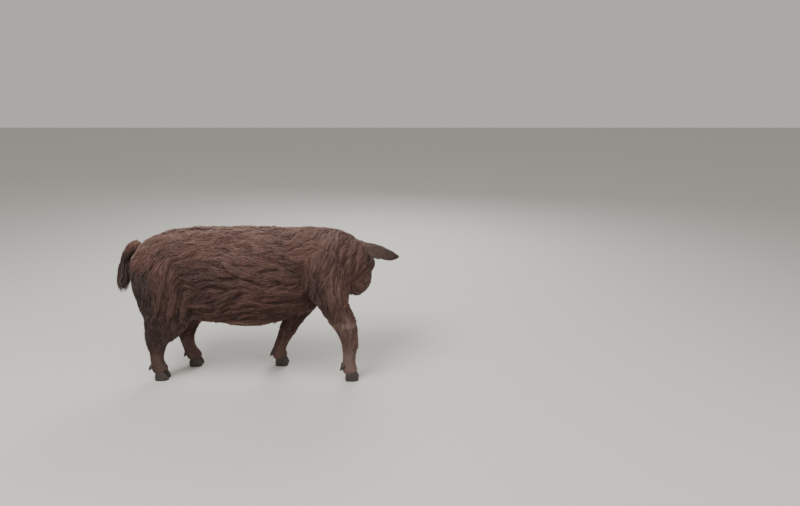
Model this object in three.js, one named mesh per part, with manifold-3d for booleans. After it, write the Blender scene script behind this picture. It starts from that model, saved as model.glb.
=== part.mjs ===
// A life-size mangalica sow, standing in a walking stance and looking round to her left.
// Millimetres. X runs from rump to chest, Y to the animal's left, Z up, and the floor is Z = 0.
// The flesh is a set of lofts, joined as one body and then parted by thin planar cuts.
// The curly coat is rounded, wavy clumps set close over a core, and they lie towards the tail.
import * as THREE from "three";
import { mergeVertices } from "three/addons/utils/BufferGeometryUtils.js";
import Module from "manifold-3d";

const wasm = await Module();
wasm.setup();

// Driving dimensions
const BACK_TOP = 750; // height of the bare back
const BELLY_BOTTOM = 280; // height of the bare belly at its lowest
const BARREL_HALF_WIDTH = 192;
const TRUNK_LENGTH = 1035; // from buttock to breast, without the coat
const COAT = 32; // depth of the curls over the bare body
const CORE = 12; // how much of that depth is closed underwool
const GAP = 0.3; // clearance between nodes that touch
const LIMB_GAP = 0.6; // clearance round a limb where it leaves its host
const HEAD_YAW = 70; // degrees that the head is turned to the animal's left
const HEAD_PITCH = 20; // degrees that the nose points down
const NAPE = [1030, 62, 592]; // where the head's own axis starts
const NOSE = 320; // from nape to the front of the nose disc
const DISC_THICKNESS = 20;
const EAR_LENGTH = 205;
const EAR_HALF_WIDTH = 57;
const EAR_HALF_THICKNESS = 4;
const EYE_RADIUS = 15;
const HOOF_TOP = 46;
const LEG_HALF_WIDTH = 27; // at the cannon bone
const SEED = 20;

const vec = (x, y, z) => new THREE.Vector3(x, y, z);
const radians = THREE.MathUtils.degToRad;

// A seeded source of numbers from 0 to 1, so that the coat is the same each time
let randomState = SEED;
function random() {
  randomState = (randomState * 1664525 + 1013904223) % 4294967296;
  return randomState / 4294967296;
}
const vary = (value, share) => value * (1 + share * (2 * random() - 1));

// Surfaces that run through stations

// Smooth value between rows of numbers, with t from 0 to 1 over the whole list
function between(rows, t) {
  const place = THREE.MathUtils.clamp(t, 0, 1) * (rows.length - 1);
  const i = Math.min(Math.floor(place), rows.length - 2);
  const f = place - i;
  const f2 = f * f;
  const f3 = f2 * f;
  const before = rows[Math.max(i - 1, 0)];
  const after = rows[Math.min(i + 2, rows.length - 1)];
  return rows[i].map((near, k) => {
    const far = rows[i + 1][k];
    const leaving = (far - before[k]) / 2;
    const arriving = (after[k] - near) / 2;
    const held = (2 * f3 - 3 * f2 + 1) * near + (3 * f2 - 2 * f3) * far;
    return held + (f3 - 2 * f2 + f) * leaving + (f3 - f2) * arriving;
  });
}

// Each row is [x, y, z, half width, height above, depth below]. The first and last rows are the ends.
// up is the direction that above is measured in, and hollow bends the section into a cup.
class Surface {
  constructor(rows, { squareness = 2, up = vec(0, 0, 1), hollow = 0 } = {}) {
    Object.assign(this, { rows, squareness, up, hollow });
  }

  frame(t) {
    const [x, y, z, wide, above, below] = between(this.rows, t);
    const step = 0.01;
    const ahead = vec(...between(this.rows, t + step));
    const behind = vec(...between(this.rows, t - step));
    const along = ahead.sub(behind).normalize();
    const side = this.up.clone().cross(along).normalize();
    const rise = along.clone().cross(side);
    return { centre: vec(x, y, z), along, side, rise, wide, above, below };
  }

  point(t, angle, grow = 0) {
    const f = this.frame(t);
    const c = Math.cos(angle);
    const s = Math.sin(angle);
    if (t <= 0 || t >= 1) return f.centre.addScaledVector(f.along, t <= 0 ? -grow : grow);
    const power = 2 / this.squareness;
    const high = s > 0 ? f.above : f.below;
    const across = Math.sign(c) * Math.abs(c) ** power * (f.wide + grow);
    const upward = Math.sign(s) * Math.abs(s) ** power * (high + grow);
    const cup = (this.hollow * across * across) / Math.max(f.wide, 1);
    return f.centre.addScaledVector(f.side, across).addScaledVector(f.rise, upward + cup);
  }

  // A point of the skin, its outward normal, and its two tangents per unit of t and of angle
  patch(t, angle) {
    const d = 0.004;
    const here = this.point(t, angle);
    const alongT = this.point(t + d, angle).sub(this.point(t - d, angle)).divideScalar(2 * d);
    const around = this.point(t, angle + d).sub(this.point(t, angle - d)).divideScalar(2 * d);
    const normal = around.clone().cross(alongT).normalize();
    return { here, normal, alongT, around };
  }

  // Whether a point is inside, at least margin below the skin
  contains(point, margin = 0) {
    const samples = 30;
    const across = Array.from({ length: samples - 1 }, (_, i) => {
      const f = this.frame((i + 1) / samples);
      return { f, off: point.clone().sub(f.centre) };
    });
    const { f, off } = across.reduce((a, b) =>
      Math.abs(b.off.dot(b.f.along)) < Math.abs(a.off.dot(a.f.along)) ? b : a);
    const high = off.dot(f.rise) > 0 ? f.above : f.below;
    const x = off.dot(f.side) / Math.max(f.wide - margin, 1);
    const y = off.dot(f.rise) / Math.max(high - margin, 1);
    return Math.abs(off.dot(f.along)) < 25 && Math.hypot(x, y) < 1;
  }
}

// A sphere's net whose rings of points are moved to ring(j, angle); the first and last are its poles
function netOf(rings, sides, ring) {
  const geometry = new THREE.SphereGeometry(1, sides, rings - 1);
  const position = geometry.attributes.position;
  for (let j = 0; j < rings; j++) {
    for (let i = 0; i <= sides; i++) {
      const p = ring(j, Math.PI - 2 * Math.PI * ((i % sides) / sides));
      position.setXYZ(j * (sides + 1) + i, p.x, p.y, p.z);
    }
  }
  return geometry;
}

function toSolid(geometry) {
  const bare = geometry.clone();
  bare.deleteAttribute("normal");
  bare.deleteAttribute("uv");
  const merged = mergeVertices(bare, 1e-4);
  const solid = new wasm.Manifold(new wasm.Mesh({
    numProp: 3,
    vertProperties: new Float32Array(merged.attributes.position.array),
    triVerts: new Uint32Array(merged.index.array),
  }));
  if (solid.volume() < 0) throw new Error("a piece is inside out");
  return solid;
}

// The rings stand a little closer together at both ends, which keeps the ends round
function loft(surface, rings, sides, grow = 0) {
  const place = (j) => 0.65 * (j / (rings - 1)) + 0.175 * (1 - Math.cos((Math.PI * j) / (rings - 1)));
  return toSolid(netOf(rings, sides, (j, angle) => surface.point(place(j), angle, grow)));
}

const join = (pieces) => wasm.Manifold.union(pieces);

function largest(solid) {
  return solid.decompose().reduce((a, b) => (b.volume() > a.volume() ? b : a));
}

// A box with one face on the plane through point, reaching out along normal
function beyond(point, normal, { depth = 2000, wide = 4000, offset = 0 } = {}) {
  const box = new THREE.BoxGeometry(wide, wide, depth);
  box.translate(0, 0, depth / 2 + offset);
  box.applyQuaternion(new THREE.Quaternion().setFromUnitVectors(vec(0, 0, 1), normal.clone().normalize()));
  box.translate(point.x, point.y, point.z);
  return toSolid(box);
}

// Trunk and neck

const trunk = new Surface(
  [
    [16, 0, 520, 0, 0, 0],
    [40, 0, 525, 92, 104, 110],
    [100, 0, 528, 142, 164, 165],
    [190, 0, 526, 168, 204, 196],
    [310, 0, 522, 183, 224, 206],
    [450, 0, 520, BARREL_HALF_WIDTH, BACK_TOP - 522, 228],
    [590, 0, 520, BARREL_HALF_WIDTH + 3, BACK_TOP - 520, 520 - BELLY_BOTTOM],
    [720, 0, 524, 186, BACK_TOP - 527, 216],
    [830, 0, 532, 172, 214, 152],
    [920, 0, 540, 152, 202, 126],
    [990, 0, 545, 118, 164, 108],
    [TRUNK_LENGTH, 0, 545, 0, 0, 0],
  ],
  { squareness: 2.25 },
);

const neck = new Surface(
  [
    [790, 0, 600, 0, 0, 0],
    [850, 0, 600, 116, 140, 160],
    [920, 6, 602, 130, 146, 175],
    [980, 22, 600, 128, 138, 172],
    [1030, 50, 594, 118, 122, 158],
    [1062, 88, 586, 92, 94, 124],
    [1078, 122, 580, 0, 0, 0],
  ],
  { squareness: 2.1 },
);

// Head, in its own frame: U from nape to nose, V to the head's left, W up

const [yaw, pitch] = [radians(HEAD_YAW), radians(HEAD_PITCH)];
const headAxis = vec(Math.cos(yaw) * Math.cos(pitch), Math.sin(yaw) * Math.cos(pitch), -Math.sin(pitch));
const headSide = vec(-Math.sin(yaw), Math.cos(yaw), 0);
const headUp = headAxis.clone().cross(headSide);
const headWay = (u, v, w) =>
  vec(0, 0, 0).addScaledVector(headAxis, u).addScaledVector(headSide, v).addScaledVector(headUp, w);
const inHead = (u, v, w) => vec(...NAPE).add(headWay(u, v, w));
const headRow = (u, v, w, wide, above, below) => [...inHead(u, v, w).toArray(), wide, above, below];

const skull = new Surface(
  [
    headRow(-60, 0, -4, 0, 0, 0),
    headRow(-34, 0, -4, 88, 72, 104),
    headRow(12, 0, 0, 110, 96, 134),
    headRow(60, 0, 0, 115, 104, 138),
    headRow(106, 0, 0, 103, 90, 126),
    headRow(150, 0, -4, 85, 66, 108),
    headRow(192, 0, -8, 72, 54, 90),
    headRow(232, 0, -10, 64, 49, 76),
    headRow(268, 0, -12, 59, 48, 64),
    headRow(292, 0, -12, 53, 45, 53),
    headRow(302, 0, -12, 0, 0, 0),
  ],
  { squareness: 2.3, up: headUp },
);

// A round cheek that runs down into the jowl
const cheek = (hand) =>
  new Surface(
    [
      headRow(-40, hand * 30, -70, 0, 0, 0),
      headRow(4, hand * 58, -80, 62, 66, 84),
      headRow(56, hand * 68, -82, 66, 70, 90),
      headRow(104, hand * 58, -76, 54, 60, 70),
      headRow(156, hand * 40, -66, 0, 0, 0),
    ],
    { up: headUp },
  );

// The bony brow over each eye
const brow = (hand) =>
  new Surface(
    [
      headRow(54, hand * 72, 54, 0, 0, 0),
      headRow(82, hand * 82, 62, 17, 14, 20),
      headRow(114, hand * 77, 56, 15, 12, 18),
      headRow(142, hand * 64, 42, 0, 0, 0),
    ],
    { up: headUp },
  );

const EYE = [108, 88, 36]; // place of the left eye's centre in the head's frame
const eyePlace = (hand) => inHead(EYE[0], hand * EYE[1], EYE[2]);

function eyeball(hand, grow = 0) {
  const ball = new THREE.SphereGeometry(EYE_RADIUS + grow, 12, 8);
  ball.translate(...eyePlace(hand).toArray());
  return toSolid(ball);
}

// A lid is a short fat arc across the eye; lift is its height over the eye's centre
function lid(hand, lift) {
  const way = (along, out, high) =>
    inHead(EYE[0] + along, hand * (EYE[1] + out), EYE[2] + high).toArray();
  return new Surface(
    [
      [...way(-25, -8, 0), 0, 0, 0],
      [...way(-17, 2, lift * 0.75), 6, 6, 7],
      [...way(0, 8, lift), 7, 7, 8],
      [...way(17, 0, lift * 0.75), 6, 6, 7],
      [...way(26, -10, -1), 0, 0, 0],
    ],
    { up: headSide.clone().multiplyScalar(hand) },
  );
}

// The mouth is a thin slit through the muzzle, turned up a little at its corner
const MOUTH_CORNER = 166;
const MOUTH_DROP = 50; // below the head's axis
const MOUTH_SLIT = 3;
function mouthSlit() {
  const outline = new THREE.Shape();
  const line = (u) => -MOUTH_DROP - 9 * Math.sin(((u - MOUTH_CORNER) / 150) * Math.PI * 0.9);
  const steps = 6;
  const places = Array.from({ length: steps + 1 }, (_, i) => MOUTH_CORNER + (i * 160) / steps);
  outline.moveTo(places[0], line(places[0]));
  for (const u of places.slice(1)) outline.lineTo(u, line(u) - MOUTH_SLIT / 2);
  for (const u of places.slice(1).reverse()) outline.lineTo(u, line(u) + MOUTH_SLIT / 2);
  const slit = new THREE.ExtrudeGeometry(outline, { depth: 160, bevelEnabled: false, steps: 1 });
  slit.translate(0, 0, -80);
  const place = new THREE.Matrix4().makeBasis(headAxis, headUp, headSide.clone().negate());
  slit.applyMatrix4(place.setPosition(vec(...NAPE)));
  return toSolid(slit);
}

// The upper lip stands a little over the slit on each side
const lip = (hand, drop, wide) =>
  new Surface(
    [
      headRow(158, hand * 64, -MOUTH_DROP - drop * 0.4, 0, 0, 0),
      headRow(186, hand * 62, -MOUTH_DROP - 4 - drop, wide, 7, 7),
      headRow(224, hand * 54, -MOUTH_DROP - 9 - drop, wide, 8, 8),
      headRow(258, hand * 44, -MOUTH_DROP - 6 - drop, wide, 7, 7),
      headRow(286, hand * 28, -MOUTH_DROP - 2 - drop, 0, 0, 0),
    ],
    { up: headUp },
  );

const disc = new Surface(
  [
    headRow(NOSE - DISC_THICKNESS - 10, 0, -8, 0, 0, 0),
    headRow(NOSE - DISC_THICKNESS - 5, 0, -8, 44, 40, 40),
    headRow(NOSE - 14, 0, -8, 55, 48, 44),
    headRow(NOSE - 4, 0, -8, 55, 49, 44),
    headRow(NOSE, 0, -8, 48, 42, 38),
    headRow(NOSE + 1, 0, -8, 0, 0, 0),
  ],
  { squareness: 2.2, up: headUp },
);

const nostril = (hand) =>
  new Surface(
    [
      headRow(NOSE - 16, hand * 17, -8, 0, 0, 0),
      headRow(NOSE - 8, hand * 19, -6, 7, 10, 9),
      headRow(NOSE + 12, hand * 22, -4, 10, 13, 11),
      headRow(NOSE + 22, hand * 22, -4, 0, 0, 0),
    ],
    { up: headUp },
  );

// Ears: cupped sheets that stand out sideways and forward, open below and in front

const EAR_ROOT = [4, 72, 80]; // middle of the left ear's root in the head's frame
function ear(hand, [forward, sideways, upward]) {
  const out = headWay(forward, hand * sideways, upward).normalize();
  const face = headWay(-0.7, -hand * 0.2, 0.7).normalize();
  const start = inHead(EAR_ROOT[0], hand * EAR_ROOT[1], EAR_ROOT[2]);
  const half = EAR_HALF_THICKNESS;
  const shape = [
    [-34, 8, 0, 0],
    [-22, 26, 12, 0],
    [12, 36, half + 3, 2],
    [52, EAR_HALF_WIDTH - 10, half, 4],
    [92, EAR_HALF_WIDTH, half, 3],
    [130, EAR_HALF_WIDTH - 6, half, -1],
    [162, 42, half, -8],
    [186, 22, half, -17],
    [EAR_LENGTH, 0, 0, -26],
  ];
  const rows = shape.map(([reach, wide, thick, drop], i) => {
    const centre = start.clone().addScaledVector(out, reach).addScaledVector(face, drop - 8);
    const ends = i === 0 || i === shape.length - 1;
    return [...centre.toArray(), ends ? 0 : wide, thick, thick];
  });
  return { surface: new Surface(rows, { up: face, hollow: -0.42 }), start, out };
}
const ears = { ear_left: ear(1, [0.7, 0.62, 0.2]), ear_right: ear(-1, [0.5, 0.82, -0.1]) };

// Legs. Rows run from hip or shoulder down to the coronet, and above and below mean forward and back.

// stride is how far the foot stands forward of a square stance
function hindLeg(side, stride) {
  const out = (y) => side * y;
  return new Surface(
    [
      [196, out(60), 672, 0, 0, 0],
      [196, out(90), 624, 70, 116, 118],
      [196 + stride * 0.06, out(108), 535, 88, 156, 142],
      [196 + stride * 0.18, out(110), 440, 84, 150, 126],
      [186 + stride * 0.38, out(103), 350, 68, 118, 96],
      [166 + stride * 0.56, out(94), 275, 52, 82, 80],
      [142 + stride * 0.7, out(87), 212, 38, 50, 56],
      [134 + stride * 0.8, out(82), 150, LEG_HALF_WIDTH, 33, 36],
      [132 + stride * 0.92, out(80), 96, LEG_HALF_WIDTH, 31, 31],
      [140 + stride, out(80), 60, 32, 37, 33],
      [146 + stride, out(80), 38, 0, 0, 0],
    ],
    { squareness: 2.1, up: vec(1, 0, 0) },
  );
}

// reach is how far the shoulder swings the elbow forward
function foreLeg(side, stride, reach) {
  const out = (y) => side * y;
  return new Surface(
    [
      [850 + reach * 0.3, out(62), 700, 0, 0, 0],
      [856 + reach * 0.45, out(94), 640, 56, 84, 92],
      [872 + reach * 0.7, out(112), 555, 68, 108, 106],
      [884 + reach * 0.9 + stride * 0.05, out(114), 470, 64, 88, 84],
      [884 + reach + stride * 0.16, out(108), 390, 55, 60, 60],
      [884 + reach + stride * 0.38, out(100), 315, 45, 50, 52],
      [886 + reach * 0.8 + stride * 0.6, out(93), 245, 36, 41, 42],
      [888 + reach * 0.6 + stride * 0.74, out(89), 195, 34, 38, 37],
      [888 + reach * 0.4 + stride * 0.84, out(86), 145, LEG_HALF_WIDTH, 31, 32],
      [888 + reach * 0.2 + stride * 0.94, out(86), 96, LEG_HALF_WIDTH, 31, 31],
      [896 + stride, out(86), 60, 32, 37, 33],
      [902 + stride, out(86), 38, 0, 0, 0],
    ],
    { squareness: 2.1, up: vec(1, 0, 0) },
  );
}

// cut is the middle of the face that parts the leg from the trunk, and reach its half length and half width
const HIND_REACH = [146, 92];
const FORE_REACH = [112, 86];
const hind = (side, stride, x) => {
  const foot = [140 + stride, 80];
  return { surface: hindLeg(side, stride), side, foot, cut: [x, 108, 372], reach: HIND_REACH };
};
const fore = (side, stride, x, reach = 0) => {
  const foot = [896 + stride, 86];
  return { surface: foreLeg(side, stride, reach), side, foot, cut: [x, 111, 402], reach: FORE_REACH };
};
const legs = {
  hindleg_right: hind(-1, -30, 184),
  hindleg_left: hind(1, 92, 236),
  foreleg_right: fore(-1, 165, 1004, 95),
  foreleg_left: fore(1, -215, 852),
};

// A slanting column from the leg's cut to below its foot, which holds the whole leg
function legColumn({ side, foot, cut: [x, y, z], reach: [long, wide] }, grow = 0) {
  const column = new THREE.CylinderGeometry(1, 1, 1, 14);
  column.rotateX(Math.PI / 2);
  column.translate(0, 0, -0.5);
  const slope = (foot[0] - x) / z;
  const drop = z + 60;
  const place = new THREE.Matrix4().set(
    long + grow, 0, -slope * drop, x,
    0, wide + grow, 0, side * y,
    0, 0, drop, z + grow,
    0, 0, 0, 1,
  );
  column.applyMatrix4(place);
  return toSolid(column);
}

// Hooves: two toes under each foot and two dewclaws behind the pastern

const TOE_HALF_WIDTH = 15;
const TOE_SPREAD = 3.5; // half the cleft between the toes
const TOE_TURN = 5; // degrees that each tip turns in towards the other

// One toe from heel to tip, round above and flat under its sole
function toe([x, y], side, hand) {
  const wide = TOE_HALF_WIDTH;
  const shape = new Surface(
    [
      [-30, 0, 14, 0, 0, 0],
      [-25, 0, 14, wide - 4, 24, 18],
      [-8, 0, 14, wide, 38, 20],
      [12, 0, 12, wide, 36, 20],
      [25, 0, 9, wide - 3, 18, 16],
      [33, 0, 6, wide - 7, 8, 12],
      [37, 0, 4, 0, 0, 0],
    ],
    { squareness: 2.7 },
  );
  return loft(shape, 7, 8)
    .rotate([0, 0, -hand * TOE_TURN])
    .translate([x + 10, side * y + hand * (wide + TOE_SPREAD), 0])
    .subtract(beyond(vec(x, side * y, 0), vec(0, 0, -1), { depth: 200, wide: 200 }))
    .subtract(beyond(vec(x, side * y, HOOF_TOP - GAP), vec(0, 0, 1), { depth: 200, wide: 200 }));
}

function dewclaw(foot, side, hand, grow = 0) {
  const [x, y] = foot;
  const centre = side * y + hand * 19;
  const rows = [
    [x - 12, centre - hand * 4, 92, 0, 0, 0],
    [x - 24, centre, 82, 10, 10, 10],
    [x - 36, centre + hand * 2, 68, 9, 9, 8],
    [x - 44, centre + hand * 3, 52, 0, 0, 0],
  ];
  return loft(new Surface(rows, { up: vec(1, 0, 0) }), 5, 7, grow);
}

// Tail, which hangs a little away from the rump and ends in a brush of locks

const tailSurface = new Surface(
  [
    [66, 0, 668, 0, 0, 0],
    [40, 0, 672, 27, 25, 27],
    [6, 0, 655, 23, 22, 23],
    [-22, 2, 616, 20, 19, 20],
    [-40, 6, 568, 18, 17, 18],
    [-52, 9, 522, 17, 16, 16],
    [-60, 11, 484, 0, 0, 0],
  ],
  { up: vec(1, 0, 0.2) },
);

function tailLock(i, count, grow) {
  const turn = (2 * Math.PI * i) / count;
  const [dx, dy] = [Math.cos(turn), Math.sin(turn)];
  const rows = [
    [-46 + 4 * dx, 8 + 4 * dy, 548, 0, 0, 0],
    [-52 + 13 * dx, 9 + 13 * dy, 518, 13, 8, 8],
    [-60 + 20 * dx, 11 + 20 * dy, 486, 14, 8, 8],
    [-66 + 18 * dx, 12 + 18 * dy, 456, 10, 6, 6],
    [-70 + 8 * dx, 13 + 8 * dy, 430 + 6 * dx, 0, 0, 0],
  ];
  return loft(new Surface(rows, { up: vec(dx, dy, 0.1) }), 6, 6, grow);
}

// Coat

const CLUMP_STATIONS = 5;
const CLUMP_SIDES = 6;

// One rounded, wavy curl that follows the skin from (t, angle) along its lie, rooted below the core
function clump(surface, t, angle, { length, width, height, core = CORE, lie = Math.PI, wave = 0.4 }) {
  const frames = [];
  let [u, a] = [t, angle];
  for (let k = 0; k < CLUMP_STATIONS; k++) {
    const share = k / (CLUMP_STATIONS - 1);
    const patch = surface.patch(u, a);
    const heading = lie + wave * Math.cos(2 * Math.PI * share);
    const along = patch.alongT.clone().normalize().multiplyScalar(Math.cos(heading));
    along.addScaledVector(patch.around.clone().normalize(), Math.sin(heading)).normalize();
    const swell = Math.sin(Math.PI * (0.14 + 0.76 * share));
    frames.push({
      centre: patch.here.clone().addScaledVector(patch.normal, core - 0.35 * height),
      normal: patch.normal,
      across: patch.normal.clone().cross(along),
      wide: (width / 2) * swell ** 0.6,
      high: height * (0.7 + 0.65 * swell),
    });
    const step = length / (CLUMP_STATIONS - 1);
    const rise = (step * Math.cos(heading)) / Math.max(patch.alongT.length(), 1);
    u = THREE.MathUtils.clamp(u + rise, 0.015, 0.985);
    a += (step * Math.sin(heading)) / Math.max(patch.around.length(), 1);
  }
  const crest = Math.PI / 2;
  return toSolid(netOf(CLUMP_STATIONS, CLUMP_SIDES, (j, angleRound) => {
    const f = frames[j];
    const turn = angleRound + crest;
    const atEnd = j === 0 || j === CLUMP_STATIONS - 1;
    if (atEnd) return f.centre.clone().addScaledVector(f.normal, -0.25 * height);
    return f.centre
      .clone()
      .addScaledVector(f.across, Math.cos(turn) * f.wide)
      .addScaledVector(f.normal, Math.sin(turn) * f.high);
  }));
}

// Rows of clumps from t = from to t = to, spaced by their size and shorter near the first end of the surface.
// keep says where one may grow.
function coatOf(surface, { from, to, length, width, height, core, lie, wave, keep = () => true }) {
  const clumps = [];
  const reach = surface.frame(from).centre.distanceTo(surface.frame(to).centre);
  const rows = Math.max(1, Math.round(reach / (length * 0.7)));
  for (let i = 0; i <= rows; i++) {
    const t = from + ((to - from) * i) / rows;
    const f = surface.frame(t);
    const girth = Math.PI * (f.wide + (f.above + f.below) / 2);
    const count = Math.max(4, Math.round(girth / (width * 0.88)));
    for (let k = 0; k < count; k++) {
      const angle = ((k + 0.5 * (i % 2) + 0.15 * (random() - 0.5)) * 2 * Math.PI) / count;
      const size = {
        length: vary(length * Math.min(1, 0.25 + 3 * t), 0.12),
        width: vary(girth / count / 0.88, 0.1),
        height: vary(height, 0.12),
      };
      const here = surface.patch(t, angle);
      const bend = vary(wave, 0.3) * (i % 2 ? 1 : -1);
      if (keep(here)) clumps.push(clump(surface, t, angle, { ...size, core, lie, wave: bend }));
    }
  }
  return clumps;
}

const legSurfaces = Object.values(legs).map((leg) => leg.surface);
const clearOf = (surfaces, margin) => ({ here }) => !surfaces.some((s) => s.contains(here, margin));
const curl = COAT - CORE;

const trunkCoat = coatOf(trunk, {
  from: 0.15, to: 0.88, length: 200, width: 132, height: curl, wave: 0.42,
  keep: clearOf([...legSurfaces, neck], 14),
});
const neckCoat = coatOf(neck, {
  from: 0.36, to: 0.74, length: 140, width: 100, height: curl * 0.85, wave: 0.35,
  keep: clearOf([trunk, skull, cheek(1), cheek(-1)], 6),
});
const cheekCoat = [1, -1].flatMap((hand) =>
  coatOf(cheek(hand), {
    from: 0.3, to: 0.72, length: 96, width: 76, height: 9, core: 3, wave: 0.3,
    keep: clearOf([skull, neck], 0),
  }));
const crownCoat = coatOf(skull, {
  from: 0.24, to: 0.38, length: 80, width: 66, height: 8, core: 2, wave: 0.3,
  keep: ({ normal }) => normal.dot(headUp) > 0.55,
});
const legCoat = Object.values(legs).flatMap(({ surface, side }) =>
  coatOf(surface, {
    from: 0.17, to: 0.42, length: 150, width: 116, height: curl * 0.8, core: 9, lie: 0, wave: 0.35,
    keep: ({ here, normal }) => !trunk.contains(here, -6) && normal.y * side > -0.25,
  }));

// Limbs: the body keeps each root up to a plane, whose point and outward direction are its cut

function wholeTail(grow = 0) {
  const locks = Array.from({ length: 5 }, (_, i) => tailLock(i, 5, grow));
  return join([loft(tailSurface, 9, 10, grow), ...locks]);
}
const limbs = { tail: { cut: [vec(10, 0, 655), vec(-0.9, 0, 0.1)], shape: wholeTail } };
for (const [name, { surface, start, out }] of Object.entries(ears)) {
  const shape = (grow = 0) => loft(surface, 11, 10, grow);
  limbs[name] = { cut: [start.clone().addScaledVector(out, 10), out], shape };
}

// The whole body, then its parts

const flesh = [
  loft(trunk, 17, 20, CORE),
  loft(neck, 10, 18, CORE),
  loft(skull, 16, 18),
  ...[1, -1].flatMap((hand) => [loft(cheek(hand), 8, 12), loft(brow(hand), 6, 7)]),
  ...[1, -1].flatMap((hand) => [loft(lid(hand, 12), 7, 6), loft(lid(hand, -11), 7, 6)]),
  ...[1, -1].flatMap((hand) => [loft(lip(hand, -9, 8), 6, 6), loft(lip(hand, 9, 6), 6, 6)]),
  ...legSurfaces.map((surface) => loft(surface, 14, 10)),
  ...Object.values(limbs).map(({ cut, shape }) => shape().subtract(beyond(...cut))),
];
const coat = [...trunkCoat, ...neckCoat, ...cheekCoat, ...crownCoat, ...legCoat];
let rest = join([...flesh, ...coat]);

// Takes the region off the rest and leaves a clearance between the two
const nodes = {};
function part(name, region, cleared) {
  nodes[name] = largest(rest.intersect(region));
  rest = rest.subtract(cleared);
}

for (const [name, leg] of Object.entries(legs)) part(name, legColumn(leg), legColumn(leg, GAP));

const torsoSide = [vec(955, 0, 600), vec(-0.92, 0, -0.36)];
part("torso", beyond(...torsoSide), beyond(...torsoSide, { offset: -GAP }));

const headSidePlane = [inHead(-26, 0, 0), headWay(0.99, -0.02, 0.05)];
part("head", beyond(...headSidePlane), beyond(...headSidePlane, { offset: -GAP }));
nodes.neck = largest(rest);

for (const [name, { cut, shape }] of Object.entries(limbs)) {
  const cleared = shape(LIMB_GAP).intersect(beyond(...cut));
  for (const host of ["torso", "neck", "head"]) nodes[host] = nodes[host].subtract(cleared);
  nodes[name] = largest(shape().intersect(beyond(...cut, { offset: GAP })));
}

for (const [name, hand] of [["left", 1], ["right", -1]]) {
  nodes.head = nodes.head.subtract(eyeball(hand, GAP));
  nodes[`eye_${name}`] = eyeball(hand);
}
nodes.nose_disc = loft(disc, 8, 18).subtract(loft(nostril(1), 6, 8)).subtract(loft(nostril(-1), 6, 8));
nodes.head = nodes.head.subtract(loft(disc, 8, 18, GAP)).subtract(mouthSlit());

for (const [name, { side, foot }] of Object.entries(legs)) {
  const sole = beyond(vec(foot[0], side * foot[1], HOOF_TOP), vec(0, 0, -1), { depth: 200, wide: 200 });
  nodes[name] = nodes[name].subtract(sole);
  for (const [edge, hand] of [["left", 1], ["right", -1]]) {
    nodes[name] = nodes[name].subtract(dewclaw(foot, side, hand, GAP));
    nodes[`${name}_dewclaw_${edge}`] = dewclaw(foot, side, hand);
    nodes[`${name}_hoof_${edge}`] = toe(foot, side, hand);
  }
}

// Materials and the finished group

const finishes = {
  coat: { color: "#6b4436", roughness: 0.95, metalness: 0 },
  ear: { color: "#5d4a46", roughness: 0.85, metalness: 0 },
  nose: { color: "#3a3433", roughness: 0.55, metalness: 0 },
  eye: { color: "#1a100c", roughness: 0.12, metalness: 0 },
  hoof: { color: "#2c2624", roughness: 0.6, metalness: 0 },
};
function finishOf(name) {
  if (name.startsWith("ear")) return finishes.ear;
  if (name.startsWith("eye")) return finishes.eye;
  if (name.startsWith("nose")) return finishes.nose;
  return /hoof|dewclaw/.test(name) ? finishes.hoof : finishes.coat;
}

const sow = new THREE.Group();
for (const [name, solid] of Object.entries(nodes)) {
  const { vertProperties, triVerts } = largest(solid).getMesh();
  const geometry = new THREE.BufferGeometry();
  geometry.setAttribute("position", new THREE.BufferAttribute(new Float32Array(vertProperties), 3));
  geometry.setIndex(new THREE.BufferAttribute(new Uint32Array(triVerts), 1));
  geometry.computeVertexNormals();
  const mesh = new THREE.Mesh(geometry, new THREE.MeshStandardMaterial(finishOf(name)));
  mesh.name = name;
  sow.add(mesh);
}

// The origin is the middle of the animal's box, on the floor
const middle = new THREE.Box3().setFromObject(sow, true).getCenter(vec(0, 0, 0));
sow.position.set(-middle.x, -middle.y, 0);

export default sow;
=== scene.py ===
# %% [markdown]
# # A mangalica sow
# A mangalica is a curly-coated pig. She stands in mid stride and looks round to her left.
# The flesh is one closed skin, the coat is thousands of thin curved tufts that lie on it,
# and the eyes and hooves are pieces of their own.
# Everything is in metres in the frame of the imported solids: X runs from rump to breast,
# Y to her left flank and Z up.

# %% Frame and tools
import math

import bmesh
import bpy
import numpy as np
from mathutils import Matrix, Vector, kdtree


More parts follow.
